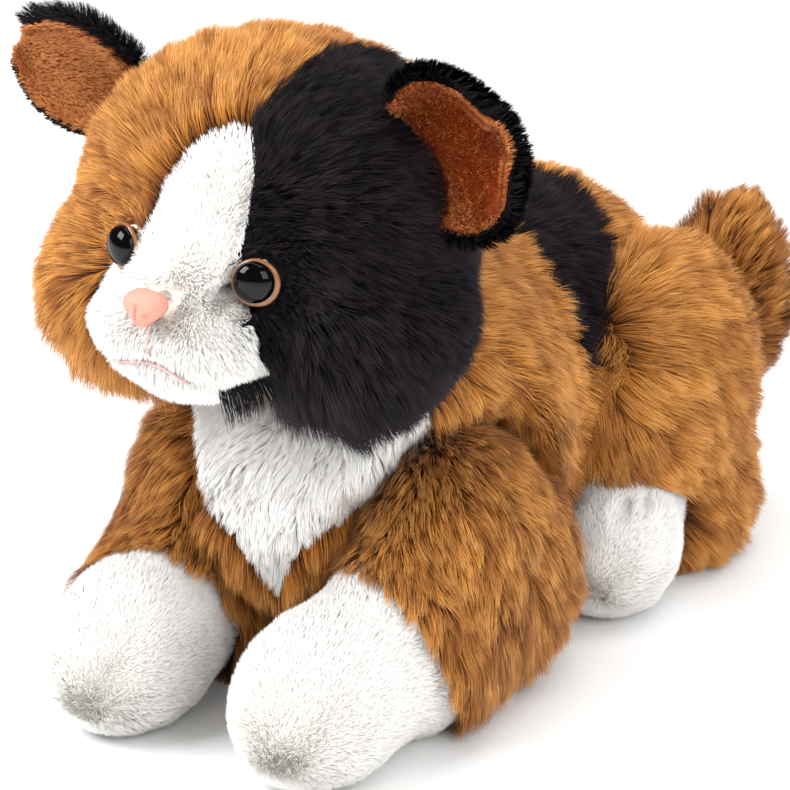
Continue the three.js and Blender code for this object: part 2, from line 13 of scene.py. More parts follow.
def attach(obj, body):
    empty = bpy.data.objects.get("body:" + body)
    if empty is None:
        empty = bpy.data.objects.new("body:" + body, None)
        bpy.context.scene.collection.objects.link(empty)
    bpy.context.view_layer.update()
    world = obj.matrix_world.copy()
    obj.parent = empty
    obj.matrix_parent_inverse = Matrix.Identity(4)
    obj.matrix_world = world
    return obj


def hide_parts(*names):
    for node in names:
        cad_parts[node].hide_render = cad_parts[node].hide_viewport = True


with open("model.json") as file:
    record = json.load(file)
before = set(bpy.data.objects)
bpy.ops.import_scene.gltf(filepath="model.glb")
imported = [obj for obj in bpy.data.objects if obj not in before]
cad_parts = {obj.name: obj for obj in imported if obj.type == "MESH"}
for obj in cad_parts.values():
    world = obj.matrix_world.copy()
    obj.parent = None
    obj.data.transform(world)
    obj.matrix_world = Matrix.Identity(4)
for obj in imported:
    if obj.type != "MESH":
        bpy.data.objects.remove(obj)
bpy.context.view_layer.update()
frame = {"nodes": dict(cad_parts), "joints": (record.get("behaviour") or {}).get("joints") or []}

MM = 0.001
rng = np.random.default_rng(20)

# ---- the sewing pattern's frame, in millimetres ----
JOINTS = {joint["name"]: joint for joint in frame["joints"]}
PATTERN_NECK = np.array([0.0, -30.0, 84.0])
NECK_DOME = 68.3         # the head's underside slides over a dome of about this radius
NECK_AXIS = np.array([0, -0.5, 0.866])
SHIFT = np.array(JOINTS["neck_nod"]["pos_m"]) / MM - PATTERN_NECK
HEAD_CENTRE = np.array([0.0, -88.0, 168.0])
HEAD_ROLL = math.radians(4.4)
FLOOR_ROOM = 0.4


def unit(rows):
    rows = np.asarray(rows, float)
    return rows / np.maximum(np.linalg.norm(rows, axis=-1, keepdims=True), 1e-9)


def roll_matrix(angle):
    c, s = math.cos(angle), math.sin(angle)
    return np.array([[c, 0, s], [0, 1, 0], [-s, 0, c]])


def rolled(points):
    return (np.asarray(points, float) - HEAD_CENTRE) @ roll_matrix(HEAD_ROLL).T + HEAD_CENTRE


def unrolled(points):
    return (np.asarray(points, float) - HEAD_CENTRE) @ roll_matrix(-HEAD_ROLL).T + HEAD_CENTRE


def smoothstep(value, low, high):
    t = np.clip((value - low) / (high - low), 0, 1)
    return t * t * (3 - 2 * t)


# ---- meshes in and out ----
def node_mesh(name):
    mesh = frame["nodes"][name].data
    points = np.empty(len(mesh.vertices) * 3)
    mesh.vertices.foreach_get("co", points)
    mesh.calc_loop_triangles()
    triangles = np.empty(len(mesh.loop_triangles) * 3, np.int32)
    mesh.loop_triangles.foreach_get("vertices", triangles)
    return points.reshape(-1, 3) / MM - SHIFT, triangles.reshape(-1, 3)


def joined(names):
    points, triangles, owner, count = [], [], [], 0
    for k, name in enumerate(names):
        p, t = node_mesh(name)
        points.append(p)
        triangles.append(t + count)
        owner.append(np.full(len(t), k))
        count += len(p)
    return np.concatenate(points), np.concatenate(triangles), np.concatenate(owner)


def tree_of(points, triangles):
    return BVHTree.FromPolygons(points.tolist(), triangles.tolist())


def new_object(name, points, faces, materials=(), uv=None, normals=None):
    """A mesh object from points in the pattern's millimetres and triangles."""
    mesh = bpy.data.meshes.new(name)
    faces = np.asarray(faces, np.int32)
    mesh.vertices.add(len(points))
    mesh.vertices.foreach_set("co", ((points + SHIFT) * MM).astype(np.float32).ravel())
    mesh.loops.add(faces.size)
    mesh.loops.foreach_set("vertex_index", faces.ravel())
    mesh.polygons.add(len(faces))
    mesh.polygons.foreach_set("loop_start", np.arange(0, faces.size, faces.shape[1], dtype=np.int32))
    mesh.update(calc_edges=True)
    mesh.polygons.foreach_set("use_smooth", np.full(len(faces), True))
    for material in materials:
        mesh.materials.append(material)
    if uv is not None:
        layer = mesh.uv_layers.new(name="OFBake")
        layer.data.foreach_set("uv", uv[faces.ravel()].astype(np.float32).ravel())
    if normals is not None:
        shading = mesh.attributes.new("custom_normal", "FLOAT_VECTOR", "POINT")
        shading.data.foreach_set("vector", normals.astype(np.float32).ravel())
    obj = bpy.data.objects.new(name, mesh)
    bpy.context.scene.collection.objects.link(obj)
    return obj


def vertex_normals(points, faces):
    a, b, c = (points[faces[:, k]] for k in range(3))
    face_normal = np.cross(b - a, c - a)
    total = np.zeros_like(points)
    for corner in range(3):
        for axis in range(3):
            total[:, axis] += np.bincount(faces[:, corner], face_normal[:, axis], len(points))
    return unit(total)


# ---- materials ----
def srgb(text):
    channels = [int(text[i:i + 2], 16) / 255 for i in (0, 2, 4)]
    return [c / 12.92 if c <= 0.04045 else ((c + 0.055) / 1.055) ** 2.4 for c in channels] + [1]


def new_material(name, roughness, specular=0.5):
    material = bpy.data.materials.new(name)
    material.use_nodes = True
    shader = material.node_tree.nodes["Principled BSDF"]
    shader.inputs["Roughness"].default_value = roughness
    shader.inputs["Specular IOR Level"].default_value = specular
    return material, material.node_tree, shader


def ramp_node(tree, stops):
    node = tree.nodes.new("ShaderNodeValToRGB")
    ramp = node.color_ramp
    while len(ramp.elements) < len(stops):
        ramp.elements.new(0.5)
    for element, (place, colour) in zip(ramp.elements, stops):
        element.position = place
        element.color = srgb(colour)
    return node


def speckled_material(name, roughness, specular, scale, stops):
    """A material whose colour varies a little with a fine noise."""
    material, tree, shader = new_material(name, roughness, specular)
    noise = tree.nodes.new("ShaderNodeTexNoise")
    noise.inputs["Scale"].default_value = scale
    ramp = ramp_node(tree, stops)
    tree.links.new(noise.outputs["Fac"], ramp.inputs["Fac"])
    tree.links.new(ramp.outputs["Color"], shader.inputs["Base Color"])
    return material, tree, shader, noise


def pile_material(name, dark, light, roughness, specular, sheen=0.0):
    """Pile fibres: a colour along the fibre, darker towards the root as painted shade deep in the pile,
    between a dark and a light kind of fibre.
    """
    material, tree, shader = new_material(name, roughness, specular)
    shader.inputs["Sheen Weight"].default_value = sheen
    coordinates = tree.nodes.new("ShaderNodeUVMap")
    coordinates.uv_map = "OFBake"
    split = tree.nodes.new("ShaderNodeSeparateXYZ")
    tree.links.new(coordinates.outputs["UV"], split.inputs[0])
    mix = tree.nodes.new("ShaderNodeMix")
    mix.data_type = "RGBA"
    tree.links.new(split.outputs["X"], mix.inputs["Factor"])
    for stops, socket in ((dark, 6), (light, 7)):
        ramp = ramp_node(tree, stops)
        tree.links.new(split.outputs["Y"], ramp.inputs["Fac"])
        tree.links.new(ramp.outputs["Color"], mix.inputs[socket])
    tree.links.new(mix.outputs[2], shader.inputs["Base Color"])
    return material


def cloth_material(name, colour, other, scale):
    """The knitted backing that the pile is tufted into."""
    material, tree, shader = new_material(name, 0.9, 0.2)
    coordinates = tree.nodes.new("ShaderNodeTexCoord")
    knit = tree.nodes.new("ShaderNodeTexWave")
    knit.inputs["Scale"].default_value = scale
    knit.inputs["Distortion"].default_value = 1.5
    grain = tree.nodes.new("ShaderNodeTexNoise")
    grain.inputs["Scale"].default_value = scale * 1.7
    tree.links.new(coordinates.outputs["Object"], knit.inputs["Vector"])
    tree.links.new(coordinates.outputs["Object"], grain.inputs["Vector"])
    mix = tree.nodes.new("ShaderNodeMix")
    mix.data_type = "RGBA"
    mix.inputs[6].default_value = srgb(colour)
    mix.inputs[7].default_value = srgb(other)
    tree.links.new(grain.outputs["Fac"], mix.inputs["Factor"])
    tree.links.new(mix.outputs[2], shader.inputs["Base Color"])
    bump = tree.nodes.new("ShaderNodeBump")
    bump.inputs["Strength"].default_value = 0.4
    bump.inputs["Distance"].default_value = 0.0003
    tree.links.new(knit.outputs["Fac"], bump.inputs["Height"])
    tree.links.new(bump.outputs["Normal"], shader.inputs["Normal"])
    return material


# Each ramp runs from root (0) to tip (1): the darker roots are painted shade deep in the pile, for every
# colour.
PILE = {
    "ginger": pile_material(
        "ginger_pile",
        [(0.0, "1E0C04"), (0.3, "4A220A"), (0.65, "824414"), (1.0, "A8641F")],
        [(0.0, "5A2C0C"), (0.25, "A05E1C"), (0.6, "D48A34"), (1.0, "F0B668")],
        0.55, 0.2, 0.1),
    "black": pile_material(
        "black_pile",
        [(0.0, "020202"), (0.5, "060405"), (1.0, "0D090C")],
        # The light kind of black fibre brightens to its tip as painted highlight, standing in for glints on
        # the black pile.
        [(0.0, "050304"), (0.5, "120D11"), (1.0, "372C34")],
        0.5, 0.15),
    "white": pile_material(
        "white_pile",
        [(0.0, "EFE8DC"), (0.4, "F6F2EC"), (1.0, "FAF8F5")],
        [(0.0, "F6F2EA"), (0.4, "FCFBF9"), (1.0, "FEFEFD")],
        0.7, 0.2, 0.05),
    "short_black": pile_material(
        "short_black_pile",
        [(0.0, "040303"), (1.0, "0B090A")],
        [(0.0, "070506"), (1.0, "211B1F")],
        0.5, 0.15),
    "lining": pile_material(
        "ear_lining_pile",
        [(0.0, "8A4A1E"), (0.5, "C07038"), (1.0, "CC8246")],
        [(0.0, "A8622C"), (0.5, "D8894A"), (1.0, "ECAE74")],
        0.65, 0.2, 0.05),
}
BACKING = {
    "ginger": cloth_material("ginger_backing", "5A2C10", "7A4218", 900),
    "black": cloth_material("black_backing", "0C090B", "171216", 900),
    "white": cloth_material("white_backing", "E4DED3", "F0EBE3", 900),
    "lining": cloth_material("lining_backing", "9A5028", "B0622F", 1200),
}
PADDING = cloth_material("polyester_padding", "E9E9E4", "F6F6F3", 400)


# ---- soft forms ----
def melted(ellipsoids, softness):
    """A field, negative inside, of ellipsoids (centre, radii) that melt into each other."""
    def field(points):
        total = None
        for centre, radii in ellipsoids:
            q = points - np.array(centre, float)
            near = np.linalg.norm(q / radii, axis=1)
            slope = np.linalg.norm(q / np.square(radii), axis=1)
            value = near * (near - 1) / np.maximum(slope, 1e-6)
            if total is None:
                total = value
            else:
                share = np.maximum(softness - np.abs(total - value), 0) / softness
                total = np.minimum(total, value) - share * share * softness / 4
        return total
    return field


def mirrored(ellipsoids):
    return [([-c[0], c[1], c[2]], r) for c, r in ellipsoids]


HEAD_FORM = [
    ([0, -84, 171], [64, 50, 54]), ([0, -66, 172], [54, 48, 50]),
    ([40, -95, 147], [33, 35, 29]), ([-40, -97, 144], [33, 35, 32]),
    ([0, -126, 156], [30, 22, 26]), ([13, -139, 146], [17, 19, 15]),
    ([-13, -139, 146], [17, 19, 15]), ([0, -129, 134], [17, 18, 12]),
]
BODY_FORM = [
    ([0, -30, 84], [65, 63, 65.4]), ([0, -68, 70], [42, 40, 37]), ([0, 74, 76], [60, 58, 68]),
    ([0, 25, 78], [52, 70, 66]), ([0, 30, 27], [46, 86, 40]),
]
FRONT_LEG_FORM = [
    ([37, -121, 25], [27.5, 38, 31]), ([43, -74, 32], [29, 44, 38]),
    ([47, -28, 38], [27, 38, 42]), ([47, -55, 62], [26, 34, 38]),
]
HIND_LEG_FORM = [
    ([50, 84, 68], [32, 53, 58]), ([62, 38, 21], [24, 31, 25]), ([56, 96, 24], [27, 38, 30]),
]
TAIL_FORM = [
    ([14, 134, 52], [20, 22, 21]), ([34, 154, 56], [22, 19, 22]),
    ([50, 158, 78], [21, 20, 28]), ([50, 157, 101], [18, 18, 24]),
]
head_field = melted(HEAD_FORM, 9)

PARTS = {
    "head": {
        "body": "head", "centre": [0, -95, 162], "level": 7, "smooth": 6,
        "field": lambda p: head_field(unrolled(p)),
        "panels": ["head_panel_ginger", "head_panel_black", "blaze_muzzle_panel", "chin_panel"],
        "stuffing": "head_stuffing",
    },
    "body": {
        "body": "body", "centre": [0, 22, 70], "level": 7, "smooth": 10, "field": melted(BODY_FORM, 14),
        "panels": ["body_side_left", "body_side_right", "bib_panel", "back_patch", "belly_panel"],
        "stuffing": "body_stuffing",
    },
    "tail": {
        "body": "tail", "centre": [40, 154, 68], "level": 6, "smooth": 6, "field": melted(TAIL_FORM, 12),
        "panels": ["tail_skin"], "stuffing": "tail_stuffing",
    },
}
for side_name, forms, leg_centre in (
    ("left", (FRONT_LEG_FORM, HIND_LEG_FORM), 1),
    ("right", (mirrored(FRONT_LEG_FORM), mirrored(HIND_LEG_FORM)), -1),
):
    PARTS["front_leg_" + side_name] = {
        "body": "front_leg_" + side_name, "centre": [leg_centre * 41, -88, 30], "level": 6, "smooth": 12,
        "field": melted(forms[0], 10),
        "panels": ["paw_" + side_name, "sleeve_" + side_name],
        "stuffing": "front_leg_stuffing_" + side_name,
    }
    PARTS["hind_leg_" + side_name] = {
        "body": "hind_leg_" + side_name, "centre": [leg_centre * 56, 68, 42], "level": 6, "smooth": 6,
        "field": melted(forms[1], 10),
        "panels": ["hind_foot_" + side_name, "thigh_" + side_name],
        "stuffing": "hind_leg_stuffing_" + side_name,
    }

_spheres = {}


def icosphere(level):
    if level not in _spheres:
        bm = bmesh.new()
        bmesh.ops.create_icosphere(bm, subdivisions=level, radius=1)
        points = np.array([v.co for v in bm.verts], float)
        faces = np.array([[v.index for v in f.verts] for f in bm.faces], np.int32)
        edges = np.array([[v.index for v in e.verts] for e in bm.edges], np.int32)
        bm.free()
        _spheres[level] = (unit(points), faces, edges)
    return _spheres[level]


def spread(values, edges, rounds, share=0.5):
    """Evens a value out over the mesh's edges."""
    count = len(values)
    degree = np.bincount(edges.ravel(), minlength=count)
    for _ in range(rounds):
        total = np.bincount(edges[:, 0], values[edges[:, 1]], count)
        total += np.bincount(edges[:, 1], values[edges[:, 0]], count)
        values = values + share * (total / degree - values)
    return values


PANEL_PILE = {
    "head_panel_ginger": "ginger", "head_panel_black": "black", "blaze_muzzle_panel": "white",
    "chin_panel": "white", "body_side_left": "ginger", "body_side_right": "ginger", "bib_panel": "white",
    "back_patch": "black", "belly_panel": "ginger", "tail_skin": "ginger",
}
for side_name in ("left", "right"):
    PANEL_PILE.update({
        "paw_" + side_name: "white", "sleeve_" + side_name: "ginger",
        "hind_foot_" + side_name: "white", "thigh_" + side_name: "ginger",
    })
INSET = {"ginger": 2.0, "black": 2.0, "white": 1.5}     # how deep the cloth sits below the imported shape
PRESSURE = 4.0
LAST_FRAME = 20
SWELL_CAP = 1.2          # how far a point may move, and how much smaller the cloth starts


REACH = 260.0


def cast(tree, centre, directions):
    """How far out from the centre the surface is first met from outside, for each direction."""
    found = np.full(len(directions), np.nan)
    middle = Vector(centre)
    for i, direction in enumerate(directions.tolist()):
        d = Vector(direction)
        hit = tree.ray_cast(middle + d * REACH, -d)
        if hit[0] is not None:
            found[i] = REACH - hit[3]
    return found


class Form:
    """A part's soft surface, seen from its centre, with a map of its radius for quick tests."""

    ROWS, COLUMNS = 90, 180

    def __init__(self, name, part):
        self.name, self.part = name, part
        self.centre = np.array(part["centre"], float)
        directions, self.faces, self.edges = icosphere(part["level"])
        names = part["panels"] + [part["stuffing"]]
        points, triangles, _ = joined(names)
        packed = cast(tree_of(points, triangles), self.centre, directions)
        if name == "head":
            packed = self.closed_neck(packed, directions)
        packed = np.where(np.isnan(packed), np.nanmedian(packed), packed)
        low, high = packed - 7, packed + 7
        for _ in range(14):
            middle = (low + high) / 2
            outside = part["field"](self.centre + directions * middle[:, None]) > 0
            high = np.where(outside, middle, high)
            low = np.where(outside, low, middle)
        radius = np.minimum(low, packed + 0.9)
        radius = spread(radius, self.edges, part["smooth"])
        self.points = self.centre + directions * radius[:, None]
        self.normals = vertex_normals(self.points, self.faces)
        self.label()
        radius = radius - SWELL_CAP + self.swell(directions)
        self.points = self.centre + directions * radius[:, None]
        self.normals = vertex_normals(self.points, self.faces)
        self.sew()
        self.points[:, 2] = np.maximum(self.points[:, 2], FLOOR_ROOM)
        self.normals = vertex_normals(self.points, self.faces)
        self.chart()

    def closed_neck(self, packed, directions):
        """The dome of the neck also closes the opening that the neck's stuffing passes through."""
        pivot, radius = PATTERN_NECK, NECK_DOME
        to_pivot = pivot - self.centre
        along = directions @ to_pivot
        gap = np.square(along) - to_pivot @ to_pivot + radius**2
        met = along - np.sqrt(np.maximum(gap, 0))
        ends = self.centre + directions * met[:, None]
        axis = unit(NECK_AXIS)
        off = ends - pivot
        aside = np.linalg.norm(off - (off @ axis)[:, None] * axis, axis=1)
        opening = (gap > 0) & (along > 0) & (aside < 27)
        return np.where(opening, np.fmax(packed, met), packed)

    def label(self):
        """Which panel each vertex belongs to, and how far it is from the nearest other panel."""
        panels = self.part["panels"]
        away = np.full((len(self.points), len(panels)), 99.0)
        for k, panel in enumerate(panels):
            tree = tree_of(*node_mesh(panel))
            for i, point in enumerate(self.points.tolist()):
                hit = tree.find_nearest(Vector(point), 30)
                if hit[0] is not None:
                    away[i, k] = hit[3]
        order = away.argsort(1)
        self.panel = order[:, 0]
        self.seam = np.full(len(self.points), 99.0)
        self.lips = np.zeros(len(self.points), bool)
        if len(panels) > 1:
            self.seam = np.sort(away, 1)[:, 1]
            if self.name == "head":
                self.lips = (order[:, :2] >= panels.index("blaze_muzzle_panel")).all(1)

    def swell(self, directions):
        """The stuffing presses the cloth outwards between its seams: how far, for each vertex."""
        coarse, faces, _ = icosphere(self.part["level"] - 2)
        reach = KDTree(len(directions))
        for i, direction in enumerate(directions.tolist()):
            reach.insert(direction, i)
        reach.balance()
        same = np.array([reach.find(d)[1] for d in coarse.tolist()])
        start = self.points[same] - coarse * SWELL_CAP
        skin = new_object(self.name + "_skin", start, faces)
        held = np.exp(-np.square(self.seam[same] / 5.0))
        held = np.where(start[:, 2] < 2.0, 1.0, held)
        group = skin.vertex_groups.new(name="held")
        for i, weight in enumerate(held.tolist()):
            group.add([i], weight, "REPLACE")
        cloth = skin.modifiers.new("cloth", "CLOTH")
        cloth.settings.quality = 4
        cloth.settings.mass = 0.3
        cloth.settings.use_pressure = True
        cloth.settings.uniform_pressure_force = PRESSURE
        cloth.settings.vertex_group_mass = "held"
        cloth.settings.effector_weights.gravity = 0
        cloth.point_cache.frame_start, cloth.point_cache.frame_end = 1, LAST_FRAME
        for step in range(1, LAST_FRAME + 1):
            bpy.context.scene.frame_set(step)
        graph = bpy.context.evaluated_depsgraph_get()
        shaped = bpy.data.meshes.new_from_object(skin.evaluated_get(graph))
        after = np.array([v.co for v in shaped.vertices], float) / MM - SHIFT
        bpy.data.objects.remove(skin)
        bpy.context.scene.frame_set(1)
        moved = np.clip(((after - start) * coarse).sum(1), -SWELL_CAP, SWELL_CAP)
        near = KDTree(len(coarse))
        for i, direction in enumerate(coarse.tolist()):
            near.insert(direction, i)
        near.balance()
        found = [near.find_n(d, 3) for d in directions.tolist()]
        weight = np.array([[1 / (hit[2] + 1e-4) for hit in hits] for hits in found])
        index = np.array([[hit[1] for hit in hits] for hits in found])
        return spread((moved[index] * weight).sum(1) / weight.sum(1), self.edges, 12)

    def sew(self):
        """The seams pull the panels in, most along the mouth, and the cloth sits below the pile."""
        depth = 0.9 * np.exp(-np.square(self.seam / 2.2))
        depth += 1.6 * np.exp(-np.square(self.seam / 2.6)) * self.lips
        below = np.array([INSET[PANEL_PILE[panel]] for panel in self.part["panels"]])
        depth += spread(below[self.panel], self.edges, 14)
        self.points -= self.normals * depth[:, None]

    def chart(self):
        rows = (np.arange(self.ROWS + 1)) / self.ROWS * math.pi
        columns = np.arange(self.COLUMNS) / self.COLUMNS * 2 * math.pi
        theta, phi = np.meshgrid(rows, columns, indexing="ij")
        flat = np.sin(theta)
        directions = np.stack([flat * np.cos(phi), flat * np.sin(phi), np.cos(theta)], -1)
        tree = tree_of(self.points, self.faces)
        radius = cast(tree, self.centre, directions.reshape(-1, 3))
        self.map = np.nan_to_num(radius, nan=float(np.nanmedian(radius))).reshape(theta.shape)

    def radius_at(self, directions):
        theta = np.arccos(np.clip(directions[:, 2], -1, 1)) / math.pi * self.ROWS
        phi = (np.arctan2(directions[:, 1], directions[:, 0]) / (2 * math.pi) % 1) * self.COLUMNS
        i = np.minimum(theta.astype(int), self.ROWS - 1)
        j = phi.astype(int) % self.COLUMNS
        a, b = theta - i, phi - np.floor(phi)
        k = (j + 1) % self.COLUMNS
        m = self.map
        return ((m[i, j] * (1 - a) + m[i + 1, j] * a) * (1 - b)
                + (m[i, k] * (1 - a) + m[i + 1, k] * a) * b)

    def height(self, points):
        """How far out of the form a point is, along its radius."""
        off = points - self.centre
        distance = np.linalg.norm(off, axis=1)
        return distance - self.radius_at(off / np.maximum(distance, 1e-6)[:, None])

    def pushed_out(self, points, room):
        off = points - self.centre
        distance = np.linalg.norm(off, axis=1)
        direction = off / np.maximum(distance, 1e-6)[:, None]
        wanted = self.radius_at(direction) + room
        return np.where((distance < wanted)[:, None], self.centre + direction * wanted[:, None], points)


FORMS = {name: Form(name, part) for name, part in PARTS.items()}


# ---- eyes and nose: where the panels give way to them ----
def flat_side(name):
    """The middle and the outward direction of a node's largest flat face."""
    points, triangles = node_mesh(name)
    a, b, c = (points[triangles[:, k]] for k in range(3))
    area = np.cross(b - a, c - a)
    direction = unit(area)
    size = np.linalg.norm(area, axis=1)
    total = np.array([size[direction @ d > 0.9995].sum() for d in direction])
    flat = direction[total.argmax()]
    on_it = direction @ flat > 0.9995
    corners = points[np.unique(triangles[on_it])]
    return (corners.min(0) + corners.max(0)) / 2, flat


EYES = {}
for side_name in ("left", "right"):
    middle, inward = flat_side("eye_pupil_" + side_name)
    EYES[side_name] = {"facing": -inward, "seat": middle + inward * 1.8}
NOSE_POINT = rolled([0.0, -156.0, 160.0])

head = FORMS["head"]
for eye in EYES.values():
    off = head.points - eye["seat"]
    high = off @ eye["facing"]
    aside = np.linalg.norm(off - high[:, None] * eye["facing"], axis=1)
    limit = -0.4 + np.square(np.maximum(aside - 7.4, 0)) * 0.9
    sink = np.where((aside < 12) & (np.abs(high) < 14), np.maximum(high - limit, 0), 0)
    head.points -= sink[:, None] * eye["facing"]
head.normals = vertex_normals(head.points, head.faces)

# ---- cloth panels and padding ----
def part_of_mesh(points, faces, keep):
    chosen = faces[keep]
    used, back = np.unique(chosen, return_inverse=True)
    return points[used], back.reshape(chosen.shape)


for name, form in FORMS.items():
    part = form.part
    face_panel = np.median(form.panel[form.faces], axis=1).astype(int)
    for k, panel in enumerate(part["panels"]):
        points, faces = part_of_mesh(form.points, form.faces, face_panel == k)
        colour = PANEL_PILE[panel]
        cloth = new_object(panel + "_cloth", points, faces, [BACKING[colour]])
        thick = cloth.modifiers.new("thickness", "SOLIDIFY")
        thick.thickness = 1.2 * MM
        thick.offset = -1
        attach(cloth, part["body"])
        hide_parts(panel)
    inside = form.points - form.normals * 1.6
    inside[:, 2] = np.maximum(inside[:, 2], 2.0)
    padding = new_object(name + "_padding", inside, form.faces, [PADDING])
    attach(padding, part["body"])
    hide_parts(part["stuffing"])


# ---- pile ----
def wander(points, size, seed):
    """A smooth random vector for each point, that changes over a length of about size."""
    picks = np.random.default_rng(seed)
    total = np.zeros((len(points), 3))
    for _ in range(5):
        turn = unit(picks.normal(size=3)) * 2 * math.pi / (size * picks.uniform(0.8, 2.2))
        total += np.sin(points @ turn + picks.uniform(0, 6.3))[:, None] * unit(picks.normal(size=3))
    return total / 2


def scatter(points, faces, count_per_mm2):
    """Random places on a mesh: the places, the face each is on and its share of that face's corners."""
    a, b, c = (points[faces[:, k]] for k in range(3))
    area = np.linalg.norm(np.cross(b - a, c - a), axis=1) / 2
    count = int(area.sum() * count_per_mm2)
    face = rng.choice(len(faces), count, p=area / area.sum())
    u, v = rng.random(count), rng.random(count)
    over = u + v > 1
    u[over], v[over] = 1 - u[over], 1 - v[over]
    places = a[face] + (b - a)[face] * u[:, None] + (c - a)[face] * v[:, None]
    return places, face, np.stack([1 - u - v, u, v], 1)


def nearest_of(points, targets):
    tree = KDTree(len(targets))
    for i, target in enumerate(targets.tolist()):
        tree.insert(target, i)
    tree.balance()
    return np.array([tree.find(p)[1] for p in points.tolist()])


def strand_line(roots, normals, comb, length, lean, droop, steps):
    """Centre lines of strands, as (count, steps + 1, 3): steep at the cloth, then lying to the comb."""
    lines = [roots]
    here = roots
    for k in range(steps):
        s = (k + 0.5) / steps
        angle = lean[:, 0] + (lean[:, 1] - lean[:, 0]) * s
        direction = normals * np.cos(angle)[:, None] + comb * np.sin(angle)[:, None]
        direction[:, 2] -= droop * s
        here = here + unit(direction) * (length / steps)[:, None]
        lines.append(here)
    return np.stack(lines, 1)


def ribbons(name, lines, normals, width, shade, colour, body):
    """Tapered ribbons along the lines, as mesh pieces on a body, shaded mostly like the skin."""
    count, knots = lines.shape[:2]
    tangent = np.empty_like(lines)
    tangent[:, 1:-1] = lines[:, 2:] - lines[:, :-2]
    tangent[:, 0] = lines[:, 1] - lines[:, 0]
    tangent[:, -1] = lines[:, -1] - lines[:, -2]
    tangent = unit(tangent)
    across = unit(np.cross(tangent, normals[:, None, :]))
    third = np.cross(tangent, across)
    twist = rng.uniform(-0.45, 0.45, count)[:, None, None]
    across = across * np.cos(twist) + third * np.sin(twist)
    taper = 1 - (np.arange(knots) / (knots - 1)) ** 1.7
    taper[0] = 0.8
    half = width[:, None, None] / 2 * taper[None, :, None]
    left, right = lines - across * half, lines + across * half
    per = 2 * knots - 1
    points = np.empty((count, per, 3))
    points[:, 0:-1:2] = left[:, :-1]
    points[:, 1:-1:2] = right[:, :-1]
    points[:, -1] = lines[:, -1]
    own = np.repeat(unit(np.cross(across, tangent)), 2, axis=1)[:, :per]
    share = SKIN_SHADE[colour]
    bend = rng.normal(0, 0.3 * (1 - share), (count, 1, 3))
    facing = unit(normals[:, None, :] * share + own * (1 - share) + bend)
    along = np.repeat(np.arange(knots) / (knots - 1), 2)[:per]
    uv = np.empty((count, per, 2))
    uv[:, :, 0] = np.clip(shade, 0.01, 0.99)[:, None]
    uv[:, :, 1] = np.clip(along, 0.01, 0.99)[None]
    pattern = []
    for k in range(knots - 2):
        a = 2 * k
        pattern += [[a, a + 1, a + 3], [a, a + 3, a + 2]]
    a = 2 * (knots - 2)
    pattern.append([a, a + 1, a + 2])
    pattern = np.array(pattern)
    pieces = max(1, math.ceil(count * len(pattern) / 190000))
    for k in range(pieces):
        chosen = slice(k * count // pieces, (k + 1) * count // pieces)
        some = points[chosen]
        faces = (pattern[None] + per * np.arange(len(some))[:, None, None]).reshape(-1, 3)
        label = name if pieces == 1 else f"{name}_{k + 1}"
        obj = new_object(label, some.reshape(-1, 3), faces, [PILE[colour]], uv[chosen].reshape(-1, 2),
                         facing[chosen].reshape(-1, 3))
        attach(obj, body)


def head_comb(p):
    """Away from the blaze over the crown, and hanging from the cheeks."""
    q = unrolled(p)
    away = unit(q - np.array([0, -150, 172]))
    low = smoothstep(-q[:, 2], -168, -128)
    back = smoothstep(q[:, 1], -95, -50)
    far = low * (q[:, 0] < 0)
    comb = away + np.array([0, 0.15, -0.8]) * low[:, None] + np.array([0, 0.5, -0.55]) * back[:, None]
    return comb + np.array([0.25, 0, -0.4]) * far[:, None]


def head_length(p):
    """Short on the crown, longer towards the bottom of the cheeks."""
    q = unrolled(p)
    low = smoothstep(-q[:, 2], -160, -125)
    front = smoothstep(-q[:, 1], 95, 118)
    near = q[:, 0] > 0
    brow = smoothstep(q[:, 2], 165, 190)
    cheek = np.where(near, 12.0 * front - 3.5, 7.0) * low
    return 10.5 + 2.0 * brow + cheek - 2.0 * smoothstep(q[:, 1], -85, -60)


def body_comb(p):
    side = np.clip(np.abs(p[:, 0]) / 60, 0, 1)
    comb = np.stack([np.sign(p[:, 0]) * 0.25 * side, np.full(len(p), 0.85), -0.15 - 0.75 * side], 1)
    chest = smoothstep(-p[:, 1], 45, 75)[:, None]
    return comb * (1 - chest) + np.array([0, -0.1, -1]) * chest


def body_length(p):
    return 15.0 + 2.0 * smoothstep(p[:, 1], 20, 80)


def sleeve_comb(side):
    return lambda p: unit(p - np.array([side * 28, -62, 104])) + np.array([0, -0.25, 0])


def sleeve_length(p):
    """Shorter over the top of the cuff, longer low down on the outside."""
    return 11.0 + 5.0 * smoothstep(-p[:, 2], -60, -35)


def thigh_comb(side):
    return lambda p: unit(p - np.array([side * 42, 8, 128])) + np.array([0, 0.3, -0.05])


def thigh_length(p):
    """Shorter above the foot."""
    over_foot = smoothstep(-p[:, 1], -75, -50) * smoothstep(-p[:, 2], -75, -50)
    return 17.0 - 8.0 * over_foot


def tail_comb(p):
    high = smoothstep(p[:, 2], 60, 100)[:, None]
    return np.array([0.9, 0.2, 0.1]) * (1 - high) + np.array([0.35, 0.1, 0.9]) * high


def paw_comb(tip):
    """Back from the toes, all round."""
    return lambda p: unit(p - np.array(tip))


def even(length):
    return lambda p: np.full(len(p), float(length))


SKIN_SHADE = {"ginger": 0.5, "black": 0.45, "white": 0.88, "short_black": 0.45, "lining": 0.75}
